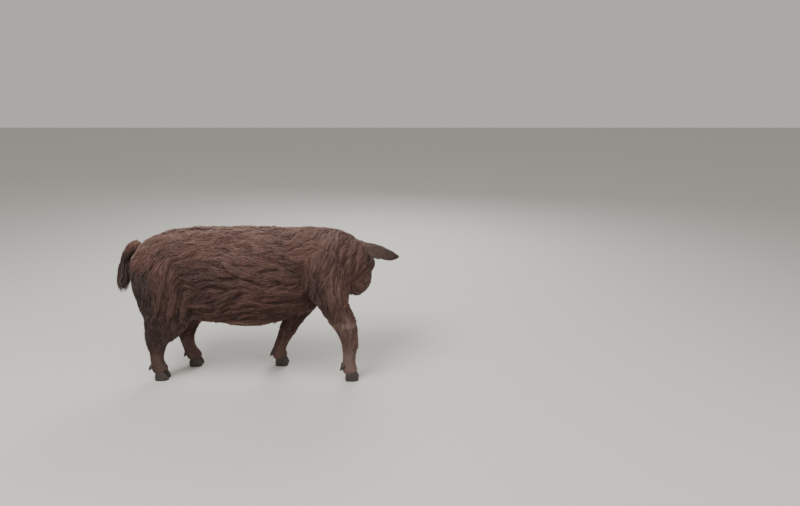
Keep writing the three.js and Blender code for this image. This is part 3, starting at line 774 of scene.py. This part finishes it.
def add(tree, kind, settings=()):
    """Adds a node and sets its own properties and its inputs, which take a link too."""
    node = tree.nodes.new("ShaderNode" + kind)
    for key, value in dict(settings).items():
        if isinstance(key, str) and hasattr(node, key):
            setattr(node, key, value)
        elif isinstance(value, bpy.types.NodeSocket):
            tree.links.new(value, node.inputs[key])
        else:
            node.inputs[key].default_value = linear(value) if isinstance(value, str) else value
    return node


def ramp(tree, source, stops):
    """A colour ramp through (place, hex colour) stops."""
    node = add(tree, "ValToRGB", {"Fac": source})
    elements = node.color_ramp.elements
    while len(elements) < len(stops):
        elements.new(0.5)
    for element, (place, code) in zip(elements, stops):
        element.position = place
        element.color = linear(code)
    return node.outputs["Color"]


def value_of(tree, name):
    return add(tree, "Attribute", {"attribute_name": name}).outputs["Fac"]


def mixed(tree, kind, share, first, second):
    """Mixes two colours."""
    inputs = {0: share, 6: first, 7: second}
    return add(tree, "Mix", {"data_type": "RGBA", "blend_type": kind, **inputs}).outputs[2]


def noise(tree, size, detail):
    """Random values over the object that change over about size metres."""
    place = add(tree, "TexCoord").outputs["Object"]
    settings = {"Vector": place, "Scale": 1 / size, "Detail": detail}
    return add(tree, "TexNoise", settings).outputs["Fac"]


def relief(tree, height, strength, depth):
    settings = {"Height": height, "Strength": strength, "Distance": depth}
    return add(tree, "Bump", settings).outputs[0]


def surface(tree, settings):
    """Ends a material with what the light meets."""
    shader = add(tree, "BsdfPrincipled", settings)
    add(tree, "OutputMaterial", {"Surface": shader.outputs[0]})


BROWN = [(0.0, "#351a12"), (0.3, "#5e3022"), (0.6, "#8c5543"), (1.0, "#bc8d76")]
GREY = [(0.0, "#35241f"), (0.3, "#60463d"), (0.6, "#8d7065"), (1.0, "#bea79c")]


def wool_colour(tree):
    light = value_of(tree, "light")
    return mixed(tree, "MIX", value_of(tree, "grey"), ramp(tree, light, BROWN), ramp(tree, light, GREY))


# %% [markdown]
# ## Wool and skin
# The wool is matt with a faint sheen at low angles, which looks soft and springy. The
# differences in tone and the painted shade at the roots set each tuft off from its
# neighbours. The skin is dull with fine pores, tinted like the wool under hair and damp on
# the nose disc.

# %% Wool and skin
WOOL, tree = new_material("curly wool")
tones = ramp(tree, value_of(tree, "tone"), [(0.0, "#c6c6c6"), (1.0, "#ffffff")])
# Painted shade: each tuft is darker at its root, where it lies under its neighbours, and takes its full
# colour past 0.6 of its length.
painted_root_shade = ramp(tree, value_of(tree, "tip"), [(0.0, "#a59c98"), (0.6, "#f0f0f0"), (1.0, "#ffffff")])
colour = mixed(tree, "MULTIPLY", 1.0, wool_colour(tree), tones)
colour = mixed(tree, "MULTIPLY", 1.0, colour, painted_root_shade)
surface(tree, {"Base Color": colour, "Roughness": 0.75, "Sheen Weight": 0.12})

PORE, MOTTLE = 2.4 * UNIT, 28 * UNIT  # sizes on the skin
PORE_DEPTH = 0.8 * UNIT
SKIN, tree = new_material("pigmented skin with short hair")
bare = ramp(tree, noise(tree, MOTTLE, 4.0), [(0.3, "#261d1c"), (0.7, "#483932")])
under_wool = mixed(tree, "MULTIPLY", 1.0, wool_colour(tree), "#b8aea8")
colour = mixed(tree, "MIX", value_of(tree, "hair"), bare, under_wool)
rough = add(tree, "MapRange", {"Value": value_of(tree, "wet"), "To Min": 0.72, "To Max": 0.44})
pores = relief(tree, noise(tree, PORE, 3.0), 0.55, PORE_DEPTH)
surface(tree, {"Base Color": colour, "Roughness": rough.outputs[0], "Normal": pores})
print("materials:", WOOL.name, "and", SKIN.name)

# %% [markdown]
# ## Fewer faces where the skin is plain
# The remesh gives every part the same fine grid. Decimate thins it where wool hides the
# skin, not on the face. The skin then takes its markings from the fine grid.

# %% Skin faces and markings
SKIN_FACES = 186000
keep = skin.vertex_groups.new(name="may lose faces")
bare_head = (u > 60) & (np.abs(v) < FACE_WIDTH) & (np.abs(w) < FACE_HEIGHT)
keep.add(np.flatnonzero(~bare_head).tolist(), 1.0, "REPLACE")
keep.add(np.flatnonzero(bare_head).tolist(), 0.06, "REPLACE")
fewer = skin.modifiers.new("Fewer faces", "DECIMATE")
fewer.vertex_group = keep.name
fewer.ratio = min(1.0, SKIN_FACES / (2 * len(skin.data.polygons)))
finished(skin)
skin.vertex_groups.clear()


def set_values(mesh, name, values):
    write(mesh.attributes.new(name, "FLOAT", "POINT").data, "value", values)


skin_points = points_of(skin.data)
from_fine = nearest(skin_tree, skin_points)
set_values(skin.data, "light", light[from_fine])
set_values(skin.data, "grey", grey[from_fine])
set_values(skin.data, "hair", ease(1.5, 5.5, length[from_fine]))
set_values(skin.data, "wet", ease(NOSE - 22, NOSE - 10, to_head(skin_points)[:, 0]))
skin.data.shade_smooth()
skin.data.materials.clear()
skin.data.materials.append(SKIN)
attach(skin, "root")
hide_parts("torso", "neck", "head", "tail", "nose_disc", "ear_left", "ear_right", *LEGS)
skin.data.calc_loop_triangles()
print("skin has", len(skin.data.loop_triangles), "triangles")

# %% [markdown]
# ## Where the tufts grow
# A tuft is a curved, tapered lock with three sides and 10 to 22 triangles. It walks over the
# skin: at each station it steps along the lie and comes back to the nearest point, so
# it follows the body round. Long wool waves and curls as it goes, short hair lies flat.

# %% Roots and walks
QUICK_SHARE = 1.0
STRAY_SHARE = 0.05  # tufts that stand off the others and soften the outline
AREA_PER_POINT = 1.12 * VOXEL**2  # square metres of skin
LONG, MIDDLE = 20, 9.5  # coat lengths in millimetres that part the three kinds of tuft
KINDS = {
    # tufts per square metre, stations, width and lift as shares of length, least width, curl
    "long": (20600, 5, 0.074, 0.07, 2.7, 3.0),
    "middle": (35000, 4, 0.11, 0.12, 2.0, 1.0),
    "short": (68000, 3, 0.15, 0.2, 1.2, 0.4),
}
BARE_FEET = 47  # height over the floor under which no tuft is rooted, for the hooves


def walk(start, stations, reach, turn):
    """Places, normals and directions of tufts that walk over the skin for their reach."""
    stops = []
    here = co[start] + rng.uniform(-1, 1, (len(start), 3)) * 1.4 * UNIT
    near = start
    for k in range(stations):
        n = normal[near]
        here = here - np.sum((here - co[near]) * n, axis=1, keepdims=True) * n
        way = lie[near] * np.cos(turn)[:, None] + np.cross(n, lie[near]) * np.sin(turn)[:, None]
        stops.append((here, n, way))
        here = here + way * (reach * UNIT / (stations - 1))[:, None]
        if k < stations - 1 and reach.max() > MIDDLE:
            near = nearest(skin_tree, here)
    return [np.stack(each, 1) for each in zip(*stops)]


chosen = rng.random(len(co))
kinds = np.where(length > LONG, "long", np.where(length > MIDDLE, "middle", "short"))
wanted = np.zeros(len(co))
for kind, (density, *_) in KINDS.items():
    wanted[kinds == kind] = density * AREA_PER_POINT * QUICK_SHARE
wanted *= ease(1.5, 3.5, length)
body = to_body(co)
hidden = (body[:, 2] < BARE_FEET) & (form_index != COATED.index("tail"))
roots = np.flatnonzero((chosen < wanted) & ~hidden)
print(len(roots), "tufts")

# %% [markdown]
# ## A tuft's shape
# The path lifts off the skin, waves from side to side and comes back down. Tufts that
# are close together share the start of their wave, so the wool crimps together. The
# section is a low triangle, widest a third of the way along.

# %% From walks to tufts
WAVE_LENGTH = 30  # millimetres of hair for one full wave
ROOT_DEPTH = 1.6  # millimetres that a tuft starts under the skin


def locks(places, normals, ways, reach, width, lift, curl, start_wave):
    """Corner points (tufts, stations, 3 corners, xyz) of tufts along their walks."""
    count, stations = places.shape[:2]
    s = np.linspace(0, 1, stations)[None, :]
    turn = 2 * math.pi * s * (reach / WAVE_LENGTH)[:, None] + start_wave[:, None]
    side = np.cross(normals, ways)
    out = -ROOT_DEPTH + (lift[:, None] * np.sin(math.pi * s**0.75) + ROOT_DEPTH * np.minimum(1, 5 * s))
    out = out + curl[:, None] * 0.7 * np.minimum(1, 3 * s) * (1 + np.cos(turn))
    sway = curl[:, None] * np.minimum(1, 3 * s) * np.sin(turn)
    path = places + (out[..., None] * normals + sway[..., None] * side) * UNIT
    swell = 0.62 + 0.38 * np.sin(math.pi * np.minimum(1, 1.5 * s))
    half = (0.5 * width[:, None] * swell * (1.02 - s) ** 0.3)[..., None] * UNIT
    return np.stack([path - side * half, path + side * half, path + normals * half * 0.95], axis=2)


def lock_faces(stations):
    """The triangles of one tuft: rings of three corners, a closed root and a tip."""
    faces = [(0, 1, 2)]
    for k in range(stations - 2):
        for a, b in ((0, 1), (1, 2), (2, 0)):
            p, q, r, t = 3 * k + a, 3 * k + b, 3 * k + 3 + a, 3 * k + 3 + b
            faces += [(p, t, q), (p, r, t)]
    last, tip = 3 * (stations - 2), 3 * (stations - 1)
    return np.array(faces + [(last + a, tip, last + b) for a, b in ((0, 1), (1, 2), (2, 0))])


# %% [markdown]
# ## A place on the unwrap for each tuft
# Each form is unwrapped to a rectangle of its own, the trunk to the left half of the map
# and the others in three columns on the right. A tuft is a small patch at its root.

# %% Unwrap and gathering
PATCH = 0.003  # width and height of a tuft on the unwrap
COLUMN, LINE = 0.165, 0.248  # spacing of the small rectangles
ISLANDS = {}  # lower left corner, width and height of each form's rectangle
for k, name in enumerate(COATED):
    corner = (0.5 + COLUMN * ((k - 1) % 3), 0.01 + LINE * ((k - 1) // 3))
    ISLANDS[name] = (0.01, 0.01, 0.46, 0.98) if name == "trunk" else (*corner, 0.15, 0.23)


def unwrapped(index):
    """The place of skin points on an unwrap of the forms, by angle and by t."""
    corner = np.array([ISLANDS[name] for name in COATED])[form_index[index]]
    round_share = (form_angle[index] / (2 * math.pi) + 0.5) % 1
    return corner[:, :2] + corner[:, 2:] * np.stack([round_share, form_t[index]], axis=1)


class Lot:
    """Gathers tufts of several kinds into one mesh."""

    def __init__(self):
        self.points, self.faces, self.uv, self.values = [], [], [], []
        self.count = 0

    def take(self, corners, home, lights, greys, tones):
        count, stations = corners.shape[:2]
        rings = corners[:, :-1].reshape(count, -1, 3)
        verts = np.concatenate([rings, corners[:, -1:].mean(axis=2)], axis=1)
        each = verts.shape[1]
        start = self.count + each * np.arange(count)[:, None, None]
        self.faces.append((lock_faces(stations)[None] + start).reshape(-1, 3))
        self.points.append(verts.reshape(-1, 3))
        s = np.append(np.repeat(np.linspace(0, 1, stations)[:-1], 3), 1.0)
        side = np.append(np.tile([-0.5, 0.0, 0.5], stations - 1), 0.0)
        patch = PATCH * np.stack([side, s - 0.5], axis=1)
        self.uv.append((home[:, None] + patch[None]).reshape(-1, 2))
        spread = [np.repeat(x, each) for x in (lights, greys, tones)]
        self.values.append(np.stack([*spread, np.tile(s, count)], axis=1))
        self.count += each * count

    def mesh(self, name):
        points, faces = np.concatenate(self.points), np.concatenate(self.faces)
        made = bpy.data.meshes.new(name)
        made.vertices.add(len(points))
        write(made.vertices, "co", points)
        made.loops.add(faces.size)
        write(made.loops, "vertex_index", faces, np.int32)
        made.polygons.add(len(faces))
        write(made.polygons, "loop_start", np.arange(0, faces.size, 3), np.int32)
        made.update(calc_edges=True)
        uv = np.concatenate(self.uv)[faces.ravel()]
        write(made.uv_layers.new(name="OFBake").data, "uv", uv)
        for k, value in enumerate(("light", "grey", "tone", "tip")):
            set_values(made, value, np.concatenate(self.values)[:, k])
        made.shade_smooth()
        made.materials.append(WOOL)
        return made


# %% [markdown]
# ## The coat in pieces
# The coat is parted by region into pieces: each leg, the tail, the neck, the ears, the head,
# the back, the belly and each flank. The coat is parted so that each piece keeps under
# 200,000 triangles. Roots on the crest of a roll grow the longest wool, and the spine
# carries a low mane.

# %% Coat
BACK_FROM, BELLY_TO = 668, 370  # heights that part the flanks from back and belly
PIECES = {name: name for name in (*LEGS, "tail", "neck")}
PIECES.update(dict.fromkeys(EARS, "ears"))


def make_tufts(lot, start, kind):
    """Adds one kind of tuft at these roots."""
    _, stations, share, rise, least, curls = KINDS[kind]
    b, count = to_body(co[start]), len(start)
    on_crest = crest[start] * depth[start]
    reach = length[start] * rng.uniform(0.8, 1.15, count) * (0.82 + 0.25 * on_crest)
    mane = ease(38, 8, np.abs(b[:, 1])) * ease(680, 730, b[:, 2]) * (kind == "long")
    reach = reach * (1 + 0.22 * mane)
    turn = rng.normal(0, 0.15, count)
    places, normals, ways = walk(start, stations, reach, turn)
    width = np.maximum(least, share * reach) * rng.uniform(0.75, 1.2, count) / QUICK_SHARE**0.5
    curl = curls * rng.uniform(0.5, 1.25, count)
    lift = rise * reach * rng.uniform(0.5, 1.3, count)
    stray = rng.random(count) < STRAY_SHARE
    lift = lift * (1 + 0.9 * mane) * np.where(stray, 2.1, 1.0)
    wave = 2 * math.pi * wander(b, 42, 11) * 1.6 + rng.normal(0, 0.4, count)
    corners = locks(places, normals, ways, reach, width, lift, curl, wave)
    lot.take(corners, unwrapped(start), light[start], grey[start], rng.random(count))


b, forms = to_body(co[roots]), form_index[roots]
regions = np.array([PIECES.get(name, "head") for name in COATED], "U24")[forms]
trunk = forms == COATED.index("trunk")
regions[trunk] = np.where(b[trunk, 1] > 0, "flank_left", "flank_right")
regions[trunk & (b[:, 2] > BACK_FROM)] = "back"
regions[trunk & (b[:, 2] < BELLY_TO)] = "belly"
coat_total = 0
for region in sorted(set(regions)):
    lot = Lot()
    mine = roots[regions == region]
    for kind in KINDS:
        start = mine[kinds[mine] == kind]
        if len(start):
            make_tufts(lot, start, kind)
    piece = new_object(f"coat_{region}", lot.mesh(f"coat_{region}"))
    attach(piece, "root")
    coat_total += len(piece.data.polygons)
    print(piece.name, len(mine), "tufts,", len(piece.data.polygons), "triangles")
print("coat has", coat_total, "triangles")

# %% [markdown]
# ## Brush of the tail
# The tail ends in a brush of long dark hair. Its tufts start on the lower part of the
# tail and hang straight down with a slight spread, so they don't walk over the skin.

# %% Brush of the tail
TAIL_HAIRS = 900
TAIL_TIP = 428  # height of the lowest hair
BRUSH_STATIONS = 5
GATHERING = 9  # millimetres that the ends draw in towards the middle of the brush
on_tail = np.flatnonzero((form_index == COATED.index("tail")) & (body[:, 2] < 600))
start = rng.choice(on_tail, int(TAIL_HAIRS * QUICK_SHARE))
few = len(start)
fall = np.array([-0.14, 0.03, -1.0]) + 0.12 * normal[start] + rng.normal(0, 0.05, (few, 3))
fall = unit(fall)[:, None]
reach = np.clip(body[start][:, 2] - TAIL_TIP + rng.uniform(-62, 14, few), 24, 92)
steps = np.linspace(0, 1, BRUSH_STATIONS)[None, :, None]
outward = normal[start][:, None]
places = co[start][:, None] + fall * steps * reach[:, None, None] * UNIT
places -= outward * steps**2 * GATHERING * UNIT
normals, ways = (np.repeat(each, BRUSH_STATIONS, axis=1) for each in (outward, fall))
width = rng.uniform(2.2, 4.2, few)
curl = rng.uniform(1.2, 3.0, few)
wave = rng.uniform(0, 2 * math.pi, few)
corners = locks(places, normals, ways, reach, width, np.full(few, 3.0), curl, wave)
lights, greys = rng.uniform(0.08, 0.34, few), rng.uniform(0.4, 0.8, few)
lot = Lot()
lot.take(corners, unwrapped(start), lights, greys, rng.random(few))
brush = new_object("tail_brush", lot.mesh("tail_brush"))
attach(brush, "root")
print("tail brush:", few, "tufts")

# %% [markdown]
# ## Eyes
# A pig's eye is small and dark with a brown iris and a round pupil. The ball is a
# sphere. Each point carries how far it lies from the middle of the gaze, and the
# material turns that into pupil, iris and white. Its wet surface gives the small sharp
# highlight that makes an eye look alive.

# %% Eyes
LOOK = (0.42, 1.0, 0.06)  # forward, outward and up
GAZE_SPAN = 1.2  # angle from the middle of the pupil that counts as 1, in radians
PUPIL, IRIS, RIM, WHITE = "#050403", "#5b3318", "#1d110b", "#6b5a50"
EYEBALL, tree = new_material("wet eyeball")
gaze_ramp = ramp(tree, value_of(tree, "gaze"), [
    (0.0, PUPIL), (0.30, PUPIL), (0.36, "#3a1f10"), (0.60, IRIS), (0.70, RIM), (0.82, WHITE)])
tear_film = {"Roughness": 0.08, "IOR": 1.376, "Coat Weight": 0.6, "Coat Roughness": 0.03}
surface(tree, {"Base Color": gaze_ramp, **tear_film})

for side_name, hand in SIDES:
    bm = bmesh.new()
    bmesh.ops.create_uvsphere(bm, u_segments=40, v_segments=28, radius=EYE_RADIUS * UNIT)
    centre = placed(in_head(EYE[0], hand * EYE[1], EYE[2]))
    bmesh.ops.translate(bm, verts=bm.verts, vec=Vector(centre))
    ball = mesh_from(bm, f"eyeball_{side_name}")
    gaze = unit(np.array([LOOK[0], hand * LOOK[1], LOOK[2]]) @ HEAD_AXES)
    way = unit(points_of(ball) - centre)
    set_values(ball, "gaze", np.arccos(np.clip(way @ gaze, -1, 1)) / GAZE_SPAN)
    ball.shade_smooth()
    ball.materials.append(EYEBALL)
    piece = new_object(f"eyeball_{side_name}", ball)
    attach(piece, "root")
    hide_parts(f"eye_{side_name}")
print("eyes", 2 * EYE_RADIUS, "mm across")

# %% [markdown]
# ## Hooves
# Each foot has two toes with hard horn and two small dewclaws behind. A toe is a form
# from heel to tip. Its sole is pressed flat on the floor, its top flat under the leg,
# and a Subdivision Surface rounds the edges between. Growth rings and grit make the horn
# look hard, dull and worn.

# %% Horn
RING_SPACING, RING_DEPTH, GRIT = 7 * UNIT, 0.6 * UNIT, 5 * UNIT
HORN, tree = new_material("hoof horn")
place = add(tree, "TexCoord").outputs["Object"]
growth = add(tree, "TexWave", {
    "bands_direction": "Z", "Vector": place, "Scale": 1 / RING_SPACING / (2 * math.pi),
    "Distortion": 3.0, "Detail": 2.0})
tint = ramp(tree, noise(tree, GRIT, 5.0), [(0.25, "#1d1815"), (0.6, "#3b312b"), (0.85, "#5d5047")])
rings = relief(tree, growth.outputs["Fac"], 0.4, RING_DEPTH)
surface(tree, {"Base Color": tint, "Roughness": 0.55, "Normal": rings})

TOE_HALF_WIDTH, TOE_SPREAD, HOOF_TOP = 15, 3.5, 46
TOE_TURN = 5  # degrees that each tip turns in towards the other
TOE_FORWARD = 10  # from the middle of the pastern
TOE_FORM = Form(squareness=2.7, rows=[
    [-30, 0, 14, 0, 0, 0],
    [-25, 0, 14, TOE_HALF_WIDTH - 4, 24, 18],
    [-8, 0, 14, TOE_HALF_WIDTH, 38, 20],
    [12, 0, 12, TOE_HALF_WIDTH, 36, 20],
    [25, 0, 9, TOE_HALF_WIDTH - 3, 18, 16],
    [33, 0, 6, TOE_HALF_WIDTH - 7, 8, 12],
    [37, 0, 4, 0, 0, 0],
])


def toe(name, foot, side, hand):
    mesh = mesh_from(shaped_ball(TOE_FORM, 18, 18), name)
    x, y, z = to_body(points_of(mesh)).T
    turn = math.radians(-TOE_TURN * hand)
    c, s = math.cos(turn), math.sin(turn)
    turned_x = x * c - y * s + foot[0] + TOE_FORWARD
    turned_y = x * s + y * c + side * foot[1] + hand * (TOE_HALF_WIDTH + TOE_SPREAD)
    set_points(mesh, placed(np.stack([turned_x, turned_y, np.clip(z, 0, HOOF_TOP)], axis=1)))
    return mesh


def dewclaw(foot, side, hand):
    x, y = foot[0], side * foot[1] + hand * 19
    return Form(up=(1, 0, 0), rows=[
        [x - 12, y - hand * 4, 92, 0, 0, 0],
        [x - 24, y, 82, 10, 10, 10],
        [x - 36, y + hand * 2, 68, 9, 9, 8],
        [x - 44, y + hand * 3, 52, 0, 0, 0],
    ])


for name, (_, side, foot) in LEGS.items():
    for edge, hand in SIDES:
        hoof = new_object(f"toe_{name}_{edge}", toe(f"toe_{name}_{edge}", foot, side, hand))
        soften = hoof.modifiers.new("Rounded horn", "SUBSURF")
        soften.levels = soften.render_levels = 1
        claw_ball = shaped_ball(dewclaw(foot, side, hand), 14, 14)
        claw = new_object(f"claw_{name}_{edge}", mesh_from(claw_ball, f"claw_{name}_{edge}"))
        for piece, node in ((hoof, f"{name}_hoof_{edge}"), (claw, f"{name}_dewclaw_{edge}")):
            piece.data.shade_smooth()
            piece.data.materials.append(HORN)
            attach(piece, "root")
            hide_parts(node)
print("eight toes and eight dewclaws")

# %% [markdown]
# ## Floor and light
# The floor is plain, pale and matt, so that it shows a soft shadow and no reflection. A
# large soft light stands high on the camera's left, a weaker one on its right, and one
# behind lifts the back off the floor.

# %% Floor and lights
FLOOR, tree = new_material("matt pale floor")
surface(tree, {"Base Color": "#c9c6c0", "Roughness": 0.9})
bm = bmesh.new()
bmesh.ops.create_grid(bm, x_segments=1, y_segments=1, size=14)
floor = new_object("floor", mesh_from(bm, "floor"))
floor.data.materials.append(FLOOR)
floor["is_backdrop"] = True


def soft_light(name, place, aim, size, power):
    lamp = bpy.data.lights.new(name, "AREA")
    lamp.shape = "DISK"
    lamp.size = size
    lamp.energy = power
    made = new_object(name, lamp)
    made.location = place
    made.rotation_euler = (Vector(aim) - Vector(place)).to_track_quat("-Z", "Y").to_euler()


soft_light("key", (-1.2, -1.9, 3.8), (0, 0, 0.45), 2.6, 182)
soft_light("fill", (2.8, -2.0, 1.9), (0.2, 0, 0.45), 2.6, 35)
soft_light("rim", (0.6, 3.0, 2.8), (0, 0, 0.6), 2.0, 90)
world = bpy.data.worlds.new("studio air")
world.use_nodes = True
air = world.node_tree.nodes["Background"].inputs
air["Color"].default_value = linear("#e5e2de")
air["Strength"].default_value = 0.65
bpy.context.scene.world = world

# %% [markdown]
# ## Camera
# The camera stands where the photograph was taken from: 3 m to her right and 1.5 m up.
# The picture's middle lies a little past her nose.

# %% Camera
PICTURE_WIDTH = 800
FOCAL = 640  # focal length in pixels of the picture
CAMERA = (1315, -3000, 1500)
PITCH_DOWN = 16.1
camera_data = bpy.data.cameras.new("camera")
camera_data.sensor_width = 36
camera_data.lens = 36 * FOCAL / PICTURE_WIDTH
camera = new_object("camera", camera_data)
camera.location = ((CAMERA[0] + shift[0]) * UNIT, (CAMERA[1] + shift[1]) * UNIT, CAMERA[2] * UNIT)
camera.rotation_euler = (math.radians(90 - PITCH_DOWN), 0, 0)
bpy.context.scene.camera = camera
print("camera lens", round(camera_data.lens, 1), "mm at", [round(c, 2) for c in camera.location])

# %% Sizes and finish
visual_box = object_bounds()
for name, box in (("solids", cad_box), ("visual", visual_box)):
    print(name, "measure", [round(high - low, 3) for low, high in zip(*box)], "m")
